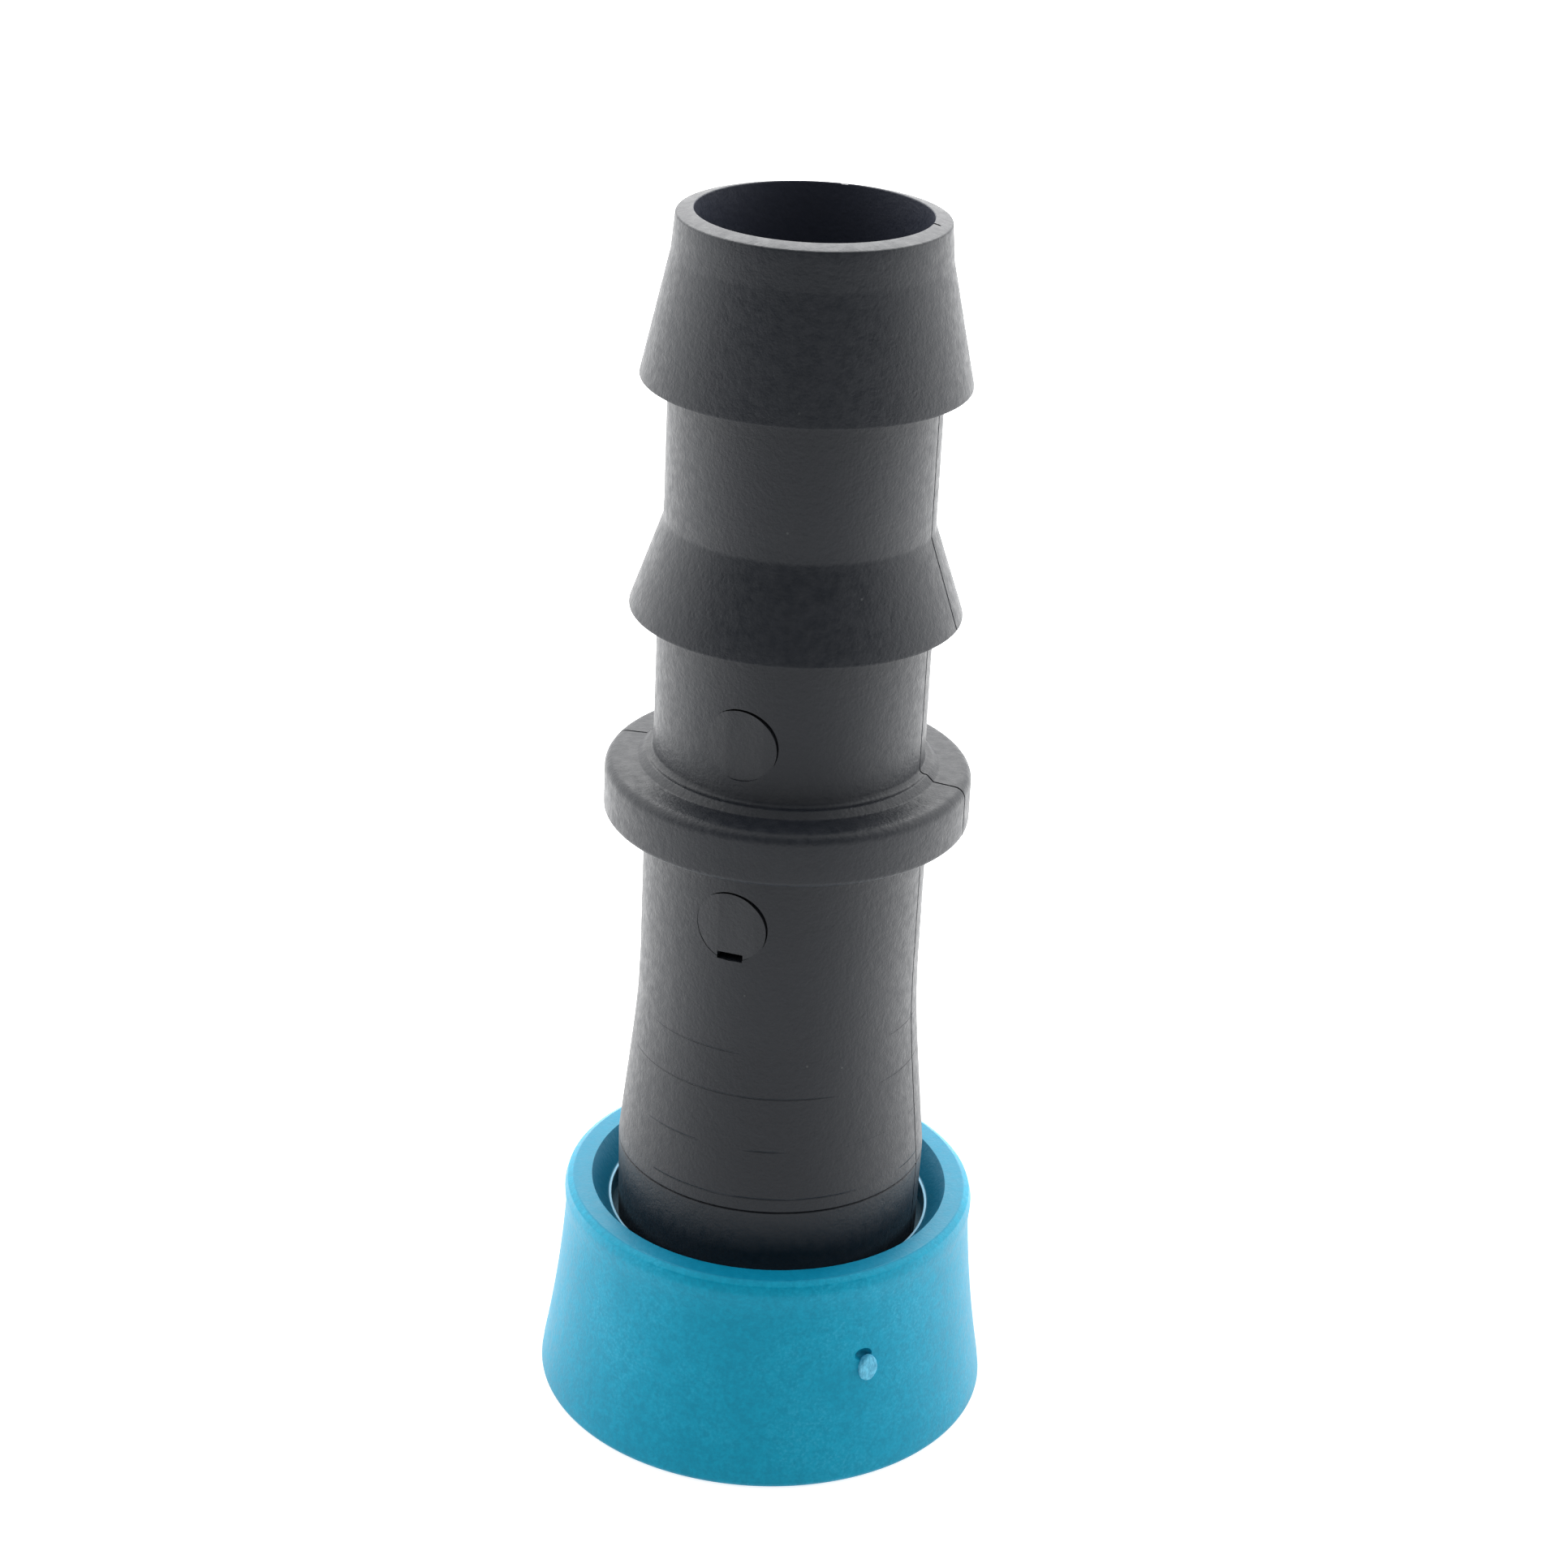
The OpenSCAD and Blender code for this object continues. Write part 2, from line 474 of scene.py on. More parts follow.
class NodeSheet:
    """A node tree that is filled from expressions.

    Args:
        tree: The tree of a material or of the world.
    """

    def __init__(self, tree: bpy.types.NodeTree) -> None:
        """Takes over a tree and empties it."""
        self.tree = tree
        tree.nodes.clear()

    def node(
        self, kind: str, settings: Optional[dict] = None, inputs: Optional[dict] = None
    ) -> bpy.types.Node:
        """Adds one node.

        Args:
            kind: The node's type.
            settings: Its own properties, set first.
            inputs: Values or links for its sockets, by name or number.

        Returns:
            The node.
        """
        made = self.tree.nodes.new(kind)
        for key, setting in (settings or {}).items():
            setattr(made, key, setting)
        for key, given in (inputs or {}).items():
            if isinstance(given, Value):
                given = given.socket
            if isinstance(given, bpy.types.NodeSocket):
                self.tree.links.new(given, made.inputs[key])
            else:
                made.inputs[key].default_value = given
        return made

    def place(self) -> bpy.types.NodeSocket:
        """Gives the Object coordinates."""
        return self.node("ShaderNodeTexCoord").outputs["Object"]

    def split(self, vector: bpy.types.NodeSocket) -> tuple[Value, Value, Value]:
        """Splits a vector in its three numbers."""
        node = self.node("ShaderNodeSeparateXYZ", {}, {0: vector})
        return tuple(Value(self, out) for out in node.outputs)

    def noise(
        self,
        place: bpy.types.NodeSocket,
        grain: float,
        detail: float = 2.0,
        rough: float = 0.5,
    ) -> Value:
        """Gives a soft noise.

        Args:
            place: The coordinates to read.
            grain: Millimetres across a patch, about.
            detail: How many finer layers are added.
            rough: How strong each finer layer is.

        Returns:
            The noise, from 0 to 1.
        """
        node = self.node(
            "ShaderNodeTexNoise",
            {},
            {"Vector": place, "Scale": 1 / (grain * MM), "Detail": detail, "Roughness": rough},
        )
        return Value(self, node.outputs[0])

    def specks(self, place: bpy.types.NodeSocket, spacing: float, reach: float) -> Value:
        """Gives scattered round specks.

        Args:
            place: The coordinates to read.
            spacing: Millimetres between specks.
            reach: A speck's radius as a share of the spacing.

        Returns:
            1 inside a speck and 0 outside.
        """
        node = self.node(
            "ShaderNodeTexVoronoi", {}, {"Vector": place, "Scale": 1 / (spacing * MM)}
        )
        return Value(self, node.outputs["Distance"]).ramp(reach, reach * 0.4)

    def stretched(
        self, place: bpy.types.NodeSocket, scale: tuple[float, float, float]
    ) -> bpy.types.NodeSocket:
        """Gives the coordinates stretched, so that a pattern runs one way."""
        node = self.node("ShaderNodeMapping", {}, {"Vector": place, "Scale": scale})
        return node.outputs[0]

    def mix(self, share: Number, first: Any, second: Any) -> bpy.types.NodeSocket:
        """Mixes two colours by a share from 0 to 1."""
        node = self.node(
            "ShaderNodeMix", {"data_type": "RGBA"}, {0: share, 6: first, 7: second}
        )
        return node.outputs[2]

    def bump(
        self, height: Value, depth: float, under: Optional[bpy.types.NodeSocket] = None
    ) -> bpy.types.NodeSocket:
        """Adds a bump.

        Args:
            height: The bump's height, from 0 to 1.
            depth: Its full height in millimetres.
            under: The normal that it is laid over.

        Returns:
            The bumped normal.
        """
        inputs = {"Height": height, "Distance": depth * MM, "Strength": 1.0}
        if under is not None:
            inputs["Normal"] = under
        return self.node("ShaderNodeBump", {}, inputs).outputs[0]


def rgb(red: float, green: float, blue: float) -> Colour:
    """Gives a linear colour with full alpha."""
    return (red, green, blue, 1.0)


# ---------------------------------------------------------------- finishes


@dataclass(frozen=True)
class CharcoalPlastic:
    """Matte charcoal plastic as it leaves the mould.

    Args:
        deep: Colour of the darker patches.
        pale: Colour of the lighter patches.
        bore: Colour inside the bore, where the core pin polished it.
        painted_highlight: Colour of the painted highlight on the lip's face and of the painted
            reflection on the round marks.
        fleck: Colour of the few pale flecks.
        gloss: Roughness of the smoother patches.
        matte: Roughness of the duller patches.
        ior: Index of refraction.
        cloud_size: Size of the broad patches, in millimetres like all that follow.
        grain_size: Size of the moulded grain.
        fine_size: Size of the finest pits.
        break_size: Size of the breaks in the tool lines.
        fleck_gap: Spacing of the flecks.
        grain_depth: Depth of the moulded grain.
        fine_depth: Depth of the finest pits.
        line_depth: Depth of the tool lines.
        line_half: Half the width of a tool line.
        mark_edge: Width over which a mark's painted reflection begins.
        lip_edge: Half the height over which the lip's painted highlight begins.
    """

    deep: Colour = rgb(0.0083, 0.0108, 0.0155)
    pale: Colour = rgb(0.0150, 0.0176, 0.0228)
    bore: Colour = rgb(0.0340, 0.0390, 0.0570)
    painted_highlight: Colour = rgb(0.068, 0.070, 0.075)
    fleck: Colour = rgb(0.075, 0.080, 0.082)
    gloss: float = 0.40
    matte: float = 0.52
    ior: float = 1.40
    cloud_size: float = 6.0
    grain_size: float = 0.45
    fine_size: float = 0.16
    break_size: float = 0.5
    fleck_gap: float = 1.6
    grain_depth: float = 0.022
    fine_depth: float = 0.020
    line_depth: float = 0.05
    line_half: float = 0.05
    mark_edge: float = 0.12
    lip_edge: float = 0.03

    def material(
        self,
        tool_lines: tuple[float, ...],
        bore_r: float,
        lip_z: float,
        marks: tuple[tuple[float, float, float], ...],
    ) -> bpy.types.Material:
        """Makes the material.

        Args:
            tool_lines: Heights in millimetres of the faint broken tool lines.
            bore_r: The bore's radius in millimetres.
            lip_z: Height of the lip's face at its outer edge.
            marks: Azimuth, height and radius of each round mark that gets a painted
                reflection.

        Returns:
            The material.
        """
        made = bpy.data.materials.new("body_plastic")
        made.use_nodes = True
        sheet = NodeSheet(made.node_tree)
        place = sheet.place()
        x, y, z = sheet.split(place)
        cloud = sheet.noise(place, self.cloud_size, 3.0)
        grain = sheet.noise(place, self.grain_size, 3.0, 0.6)
        fine = sheet.noise(place, self.fine_size, 2.0, 0.6)
        flecks = sheet.specks(place, self.fleck_gap, 0.05) * cloud.ramp(0.45, 0.6)
        shade = (cloud * 0.4 + grain * 0.6).ramp(0.3, 0.7)
        colour = sheet.mix(shade, self.deep, self.pale)
        colour = sheet.mix(flecks * 0.7, colour, self.fleck)
        inside = distance(x, y).ramp((bore_r + 0.06) * MM, (bore_r + 0.02) * MM)
        colour = sheet.mix(inside, colour, self.bore)
        # Painted highlight: the lip's top face is painted paler, standing in for the bright
        # band that light lays along it.
        lip_face_highlight = z.ramp((lip_z - self.lip_edge) * MM, (lip_z + self.lip_edge) * MM)
        lip_highlight = lip_face_highlight * (1 - inside)
        colour = sheet.mix(lip_highlight * 0.8, colour, self.painted_highlight)
        # Painted reflection: each round mark's face is painted a little paler, standing in for
        # the light that its flat face reflects.
        for azimuth, height, reach in marks:
            right, out = compass(azimuth + 90), compass(azimuth)
            across = x * right.x + y * right.y
            away = distance(across, z - height * MM)
            disc = away.ramp(reach * MM, (reach - self.mark_edge) * MM)
            disc = disc * (x * out.x + y * out.y).ramp(0.0, MM)
            colour = sheet.mix(disc * 0.16, colour, self.painted_highlight)
        roughness = grain.ramp(0.25, 0.75) * (self.matte - self.gloss) + self.gloss
        turned = sheet.stretched(place, (0.12, 0.12, 1.0))
        broken = sheet.noise(turned, self.break_size, 1.0).ramp(0.45, 0.6)
        scratch = sum(
            (z - height * MM).size().ramp(self.line_half * MM, 0.0) * broken
            for height in tool_lines
        )
        skin = sheet.bump(fine, self.fine_depth)
        skin = sheet.bump(grain, self.grain_depth, skin)
        skin = sheet.bump(1 - scratch, self.line_depth, skin)
        shader = sheet.node(
            "ShaderNodeBsdfPrincipled",
            {},
            {"Base Color": colour, "Roughness": roughness, "IOR": self.ior, "Normal": skin},
        )
        sheet.node("ShaderNodeOutputMaterial", {}, {0: shader.outputs[0]})
        return made


@dataclass(frozen=True)
class TurquoisePlastic:
    """Satin turquoise plastic with a faint cloudy speckle.

    Args:
        deep: Colour of the darker patches.
        pale: Colour of the lighter patches.
        bloom: Colour of the pale bloom on the surface.
        painted_highlight: Colour of the pale band painted on the grip bore's inner edge as a
            painted highlight.
        painted_shade: Colour painted inside the mouth and on the flat rim's top as painted
            shade.
        sheen: Tint of the highlights seen head on.
        gloss: Roughness of the smoother patches.
        matte: Roughness of the duller patches.
        ior: Index of refraction.
        cloud_size: Size of the broad patches, in millimetres like all that follow.
        grain_size: Size of the speckle.
        fine_size: Size of the finest pits.
        grain_depth: Depth of the speckle's relief.
        fine_depth: Depth of the finest pits.
    """

    deep: Colour = rgb(0.0003, 0.214, 0.346)
    pale: Colour = rgb(0.002, 0.284, 0.444)
    bloom: Colour = rgb(0.055, 0.370, 0.545)
    painted_highlight: Colour = rgb(0.30, 0.55, 0.72)
    painted_shade: Colour = rgb(0.0003, 0.145, 0.265)
    sheen: Colour = rgb(0.22, 0.80, 0.96)
    gloss: float = 0.36
    matte: float = 0.48
    ior: float = 1.48
    cloud_size: float = 4.0
    grain_size: float = 0.4
    fine_size: float = 0.15
    grain_depth: float = 0.012
    fine_depth: float = 0.010

    def material(
        self, edge_r: float, edge_z: float, mouth_r: float, top: float
    ) -> bpy.types.Material:
        """Makes the material.

        Args:
            edge_r: Radius of the inner edge that gets a painted highlight, in millimetres.
            edge_z: Height of that edge.
            mouth_r: Radius of the mouth.
            top: Height of the flat rim, whose top is painted darker as painted shade too.

        Returns:
            The material.
        """
        made = bpy.data.materials.new("ring_plastic")
        made.use_nodes = True
        sheet = NodeSheet(made.node_tree)
        place = sheet.place()
        x, y, z = sheet.split(place)
        cloud = sheet.noise(place, self.cloud_size, 4.0, 0.6)
        grain = sheet.noise(place, self.grain_size, 3.0, 0.65)
        fine = sheet.noise(place, self.fine_size, 2.0, 0.6)
        shade = (cloud * 0.25 + grain * 0.45 + fine * 0.30).ramp(0.36, 0.64)
        colour = sheet.mix(shade, self.deep, self.pale)
        bloom = cloud.ramp(0.42, 0.75) * fine.ramp(0.45, 0.8)
        colour = sheet.mix(bloom * 0.5, colour, self.bloom)
        radius = distance(x, y)
        # Painted shade: inside the mouth is painted darker, standing in for the shade that
        # falls there.
        inside = radius.ramp((mouth_r + 0.03) * MM, (mouth_r - 0.03) * MM)
        colour = sheet.mix(inside, colour, self.painted_shade)
        # Painted shade: the flat rim's top is painted darker to take off the light that falls
        # on it from above.
        rim_top_shade = z.ramp((top - 0.06) * MM, (top - 0.01) * MM)
        colour = sheet.mix(rim_top_shade * 0.6, colour, self.painted_shade)
        # Painted highlight: a pale band round the grip bore's inner edge stands in for the
        # glint along that edge.
        edge_highlight = (radius - edge_r * MM).size().ramp(0.14 * MM, 0.08 * MM)
        edge_highlight = edge_highlight * (z - edge_z * MM).size().ramp(0.16 * MM, 0.10 * MM)
        colour = sheet.mix(edge_highlight * 0.85, colour, self.painted_highlight)
        roughness = grain.ramp(0.25, 0.75) * (self.matte - self.gloss) + self.gloss
        skin = sheet.bump(fine, self.fine_depth)
        skin = sheet.bump(grain, self.grain_depth, skin)
        shader = sheet.node(
            "ShaderNodeBsdfPrincipled",
            {},
            {
                "Base Color": colour,
                "Roughness": roughness,
                "IOR": self.ior,
                "Specular Tint": self.sheen,
                "Normal": skin,
            },
        )
        sheet.node("ShaderNodeOutputMaterial", {}, {0: shader.outputs[0]})
        return made


@dataclass(frozen=True)
class TornPlastic:
    """Turquoise plastic whitened where the gate was torn off.

    Args:
        base: Colour at the nub's foot.
        white: Colour of the stretched fibres.
        fibre_size: Millimetres across a fibre.
        fibre_depth: Depth between the fibres, in millimetres.
        gloss: Roughness of the smoother fibres.
        matte: Roughness of the duller fibres.
    """

    base: Colour = rgb(0.05, 0.34, 0.52)
    white: Colour = rgb(0.12, 0.54, 0.76)
    fibre_size: float = 0.16
    fibre_depth: float = 0.05
    gloss: float = 0.45
    matte: float = 0.65

    def material(self) -> bpy.types.Material:
        """Makes the material.

        Returns:
            The material.
        """
        made = bpy.data.materials.new("torn_plastic")
        made.use_nodes = True
        sheet = NodeSheet(made.node_tree)
        place = sheet.place()
        upright = sheet.stretched(place, (1.0, 1.0, 0.45))
        fibre = sheet.noise(upright, self.fibre_size, 3.0, 0.6)
        colour = sheet.mix(fibre.ramp(0.35, 0.65), self.base, self.white)
        roughness = fibre * (self.matte - self.gloss) + self.gloss
        skin = sheet.bump(fibre, self.fibre_depth)
        shader = sheet.node(
            "ShaderNodeBsdfPrincipled",
            {},
            {"Base Color": colour, "Roughness": roughness, "Normal": skin},
        )
        sheet.node("ShaderNodeOutputMaterial", {}, {0: shader.outputs[0]})
        return made


# ---------------------------------------------------------------- the connector's body


@dataclass
class ConnectorBody:
    """The bored body: spigot with its bulge, flange, two barbs and lip.

    Args:
        drawing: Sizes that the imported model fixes.
        stem_wall_low: Wall of the spigot's stem.
        stem_wall_mid: Wall of the stem above the flange.
        stem_wall_top: Wall of the stem between the barbs.
        tip_wall: Wall of the tip where the upper cone starts.
        tip_taper: Taper of the tip on the radius.
        tip_len: Length of the tip.
        lip_fall: Fall of the lip's face from the bore to its outer edge.
        lip_round: Rounding of the lip's outer edge.
        lip_inner_round: Rounding of the lip's inner edge.
        foot_inner_round: Rounding of the bore's edge at the spigot's end.
        nose_wall: Wall at the spigot's end.
        nose_round: Rounding of the spigot's end.
        bulge_land: Length of the bulge's cylindrical crest.
        bulge_cone: Length of the bulge's upper cone.
        bulge_soft: Rounding of the crest's two edges.
        land_taper: Length of the slow taper under the crest.
        land_fall: Fall of the slow taper.
        land_soft: Rounding at the foot of the slow taper.
        waist_soft: Rounding where the upper cone meets the stem.
        flange_z: Height of the flange's underside.
        flange_t: Thickness of the flange.
        flange_rise: Height of the flange's rim above the spigot's stem.
        flange_fall: Fall of the flange's upper face.
        flange_top_round: Rounding of the rim's upper edge.
        flange_low_round: Rounding of the rim's lower edge.
        collar_in: Distance of the collar's top from the stem.
        collar_out: Distance of the collar's foot from the stem.
        collar_h: Height of the collar.
        collar_sink: Depth of the face at the collar's foot.
        collar_soft: Rounding of the collar's edges.
        fillet: Fillet under a barb.
        wide_fillet: Fillet where a stem meets the flange.
        mount_land: Length of the lower barb's crest as the record states it.
        barb_land: Length of the crest as it is made.
        barb_soft: Rounding where a crest meets its cone.
        cone_soft: Rounding where the lower cone meets the stem.
        tip_soft: Rounding where the upper cone meets the tip.
        low_barb_len: Length of the lower barb's cone.
        top_barb_len: Length of the upper barb's cone.
        top_barb_rise: Height of the upper barb's crest above its stem.
        crest_soft: Rounding of a barb's sharp edge.
        seam_half: Half the width of the groove round the bulge.
        seam_deep: Depth of that groove.
        parting: Azimuth of the parting line.
        parting_half: Half its width.
        parting_deep: Its depth.
        bore_skin: Wall beside the bore that the parting line leaves alone.
        mark_turn: Azimuth of the two round marks.
        mark_r: Radius of a mark.
        mark_deep: Depth of a mark's flat face at its middle.
        mark_lean: Degrees that the flat face turns towards +X.
        gap_deep: Depth of the crescent gap beside a mark.
        gap_short: How far the gap's ends stay apart.
        wide_gap: Direction in degrees and width of a mark's crescent gap.
        thin_gap: The same for the lower mark's second gap.
        high_mark_z: Height of the upper mark.
        low_mark_z: Height of the lower mark.
        pit_rise: Height of the pit above the lower mark's foot.
        pit_sink: Depth of the pit's middle under the stem's surface.
        pit_size: Depth, width and height of the pit's cutter.
        nicks: Azimuth and cutter's size of each nick in the lip's inner edge.
        tool_lines: Heights of the faint broken tool lines.
    """

    drawing: Drawing
    stem_wall_low: float = 1.42
    stem_wall_mid: float = 1.09
    stem_wall_top: float = 0.93
    tip_wall: float = 0.98
    tip_taper: float = 0.16
    tip_len: float = 1.95
    lip_fall: float = 0.2
    lip_round: float = 0.12
    lip_inner_round: float = 0.06
    foot_inner_round: float = 0.12
    nose_wall: float = 1.0
    nose_round: float = 0.4
    bulge_land: float = 0.3
    bulge_cone: float = 8.0
    bulge_soft: float = 1.0
    land_taper: float = 4.5
    land_fall: float = 0.08
    land_soft: float = 6.0
    waist_soft: float = 40.0
    flange_z: float = 31.0
    flange_t: float = 2.7
    flange_rise: float = 1.93
    flange_fall: float = 0.13
    flange_top_round: float = 0.55
    flange_low_round: float = 0.28
    collar_in: float = 0.36
    collar_out: float = 0.70
    collar_h: float = 0.28
    collar_sink: float = 0.04
    collar_soft: float = 0.15
    fillet: float = 0.15
    wide_fillet: float = 0.5
    mount_land: float = 0.3
    barb_land: float = 0.06
    barb_soft: float = 0.2
    cone_soft: float = 0.5
    tip_soft: float = 1.0
    low_barb_len: float = 4.3
    top_barb_len: float = 5.65
    top_barb_rise: float = 1.27
    crest_soft: float = 0.05
    seam_half: float = 0.06
    seam_deep: float = 0.10
    parting: float = 73.0
    parting_half: float = 0.06
    parting_deep: float = 0.09
    bore_skin: float = 0.2
    mark_turn: float = -20.0
    mark_r: float = 1.75
    mark_deep: float = 0.05
    mark_lean: float = 2.0
    gap_deep: float = 0.42
    gap_short: float = 0.05
    wide_gap: tuple[float, float] = (50.0, 0.16)
    thin_gap: tuple[float, float] = (215.0, 0.04)
    high_mark_z: float = 36.75
    low_mark_z: float = 27.75
    pit_rise: float = 0.2
    pit_sink: float = 0.25
    pit_size: tuple[float, float, float] = (0.9, 1.25, 0.36)
    nicks: tuple = ((166.0, (0.6, 0.35, 0.12)), (77.0, (0.5, 0.16, 0.24)))
    tool_lines: tuple[float, ...] = (13.95, 16.4, 19.1, 21.3)

    def __post_init__(self) -> None:
        """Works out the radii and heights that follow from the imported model."""
        self.bore = self.drawing.mount_radius("flow_bore")
        self.low_r = self.bore + self.stem_wall_low
        self.mid_r = self.bore + self.stem_wall_mid
        self.top_r = self.bore + self.stem_wall_top
        self.tip_r = self.bore + self.tip_wall
        self.flange_r = self.low_r + self.flange_rise
        self.flange_top = self.flange_z + self.flange_t
        self.bulge_r = self.drawing.mount_radius("spigot_crest")
        self.bulge_z = self.drawing.mount_height("spigot_crest")
        self.low_barb_r = self.drawing.mount_radius("barb_crest")
        self.low_barb_z = self.drawing.mount_height("barb_crest") - self.mount_land / 2
        self.top_barb_r = self.top_r + self.top_barb_rise
        self.top = self.drawing.height("connector_body")
        self.top_cone_end = self.top - self.tip_len
        self.top_barb_z = self.top_cone_end - self.top_barb_len

    def section(self) -> Section:
        """Draws the half section.

        Returns:
            The section, from the spigot's end up the outside to the lip.
        """
        crest_low = self.bulge_z - self.bulge_land / 2
        crest_top = self.bulge_z + self.bulge_land / 2
        face_z = self.flange_top - self.flange_fall
        collar_z = self.flange_top + self.collar_h
        low_crest = self.low_barb_z + self.barb_land
        top_crest = self.top_barb_z + self.barb_land
        return Section((
            Corner(self.bore, 0, self.foot_inner_round),
            Corner(self.bore + self.nose_wall, 0, self.nose_round),
            Corner(self.bulge_r - self.land_fall, crest_low - self.land_taper, self.land_soft),
            Corner(self.bulge_r, crest_low, self.bulge_soft),
            Corner(self.bulge_r, self.bulge_z - self.seam_half),
            Corner(self.bulge_r - self.seam_deep, self.bulge_z),
            Corner(self.bulge_r, self.bulge_z + self.seam_half),
            Corner(self.bulge_r, crest_top, self.bulge_soft),
            Corner(self.low_r, crest_top + self.bulge_cone, self.waist_soft),
            Corner(self.low_r, self.flange_z, self.wide_fillet),
            Corner(self.flange_r, self.flange_z, self.flange_low_round),
            Corner(self.flange_r, face_z, self.flange_top_round),
            Corner(
                self.mid_r + self.collar_out,
                self.flange_top - self.collar_sink,
                self.collar_soft,
            ),
            Corner(self.mid_r + self.collar_in, collar_z, self.collar_soft),
            Corner(self.mid_r, collar_z, self.wide_fillet),
            Corner(self.mid_r, self.low_barb_z, self.fillet),
            Corner(self.low_barb_r, self.low_barb_z, self.crest_soft),
            Corner(self.low_barb_r, low_crest, self.barb_soft),
            Corner(self.top_r, self.low_barb_z + self.low_barb_len, self.cone_soft),
            Corner(self.top_r, self.top_barb_z, self.fillet),
            Corner(self.top_barb_r, self.top_barb_z, self.crest_soft),
            Corner(self.top_barb_r, top_crest, self.barb_soft),
            Corner(self.tip_r, self.top_cone_end, self.tip_soft),
            Corner(self.tip_r - self.tip_taper, self.top - self.lip_fall, self.lip_round),
            Corner(self.bore, self.top, self.lip_inner_round),
        ))

    def disc(
        self,
        radius: float,
        height: float,
        long: float,
        lean: float = 0.0,
        shift: Vector = Vector(),
        grow: float = 0.0,
    ) -> bpy.types.Object:
        """Makes a round cutter that stands square on a stem at the marks' azimuth.

        Args:
            radius: Its middle's distance from the axis.
            height: Its middle's height.
            long: Its length along its own axis.
            lean: Degrees that it turns further towards +X.
            shift: A sideways move.
            grow: How much its radius is over the mark's.

        Returns:
            The cutter.
        """
        Workshop.clear()
        bpy.ops.mesh.primitive_cylinder_add(
            vertices=96,
            radius=self.mark_r + grow,
            depth=long,
            location=compass(self.mark_turn) * radius + Vector((0, 0, height)) + shift,
            rotation=compass(self.mark_turn + lean).to_track_quat("Z", "Y").to_euler(),
        )
        return bpy.context.object

    def flat_cutter(self, radius: float, height: float) -> bpy.types.Object:
        """Makes the cutter for a mark's flat face on a stem of that radius."""
        long = 2.0
        return self.disc(radius - self.mark_deep + long / 2, height, long, self.mark_lean)

    def gap_cutter(
        self, radius: float, height: float, side: float, width: float
    ) -> bpy.types.Object:
        """Makes the cutter for the thin crescent gap along one side of a mark.

        Args:
            radius: The stem's radius.
            height: The mark's middle.
            side: Where the gap is widest, in degrees from the right, upwards.
            width: Its width there.

        Returns:
            The cutter.
        """
        turn = math.radians(side)
        sideways = compass(self.mark_turn + 90) * math.cos(turn)
        away = sideways + Vector((0, 0, math.sin(turn)))
        gap = self.disc(radius, height, self.gap_deep * 2)
        core = self.disc(
            radius,
            height,
            self.gap_deep * 3,
            shift=away * -(width + self.gap_short),
            grow=self.gap_short,
        )
        Workshop.cut(gap, core)
        return gap

    def box_cutter(
        self, azimuth: float, radius: float, height: float, size: tuple[float, float, float]
    ) -> bpy.types.Object:
        """Makes a small block that cuts a pit or a nick.

        Args:
            azimuth: Where it stands.
            radius: Its middle's distance from the axis.
            height: Its middle's height.
            size: Its depth, width and height.

        Returns:
            The cutter.
        """
        Workshop.clear()
        bpy.ops.mesh.primitive_cube_add(
            size=1,
            location=compass(azimuth) * radius + Vector((0, 0, height)),
            rotation=(0, 0, math.radians(azimuth - 90)),
            scale=size,
        )
        return bpy.context.object

    def build(self) -> bpy.types.Object:
        """Turns the body and cuts its grooves, marks, pit and nicks.

        Returns:
            The finished body.
        """
        piece = Workshop.lathe(Piece.BODY.value, self.section(), self.parting - 90)
        Workshop.parting_groove(
            piece,
            self.parting,
            self.parting_half,
            self.parting_deep,
            self.bore + self.bore_skin,
            self.top_barb_z - 0.1,
        )
        for radius, height in ((self.mid_r, self.high_mark_z), (self.low_r, self.low_mark_z)):
            Workshop.cut(piece, self.flat_cutter(radius, height))
            Workshop.cut(piece, self.gap_cutter(radius, height, *self.wide_gap))
        Workshop.cut(piece, self.gap_cutter(self.low_r, self.low_mark_z, *self.thin_gap))
        pit_z = self.low_mark_z - self.mark_r + self.pit_rise
        pit_r = self.low_r - self.pit_sink
        Workshop.cut(piece, self.box_cutter(self.mark_turn, pit_r, pit_z, self.pit_size))
        for azimuth, size in self.nicks:
            Workshop.cut(piece, self.box_cutter(azimuth, self.bore + 0.1, self.top, size))
        return Workshop.finish(piece)

    def dress(self, piece: bpy.types.Object, finish: CharcoalPlastic) -> None:
        """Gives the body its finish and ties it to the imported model.

        Args:
            piece: The finished body.
            finish: Its plastic.
        """
        piece.data.materials.clear()
        marks = tuple(
            (self.mark_turn, height, self.mark_r)
            for height in (self.high_mark_z, self.low_mark_z)
        )
        lip_z = self.top - self.lip_fall
        piece.data.materials.append(
            finish.material(self.tool_lines, self.bore, lip_z, marks)
        )
        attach(piece, "connector_body")
        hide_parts("connector_body")


# ---------------------------------------------------------------- the locking ring


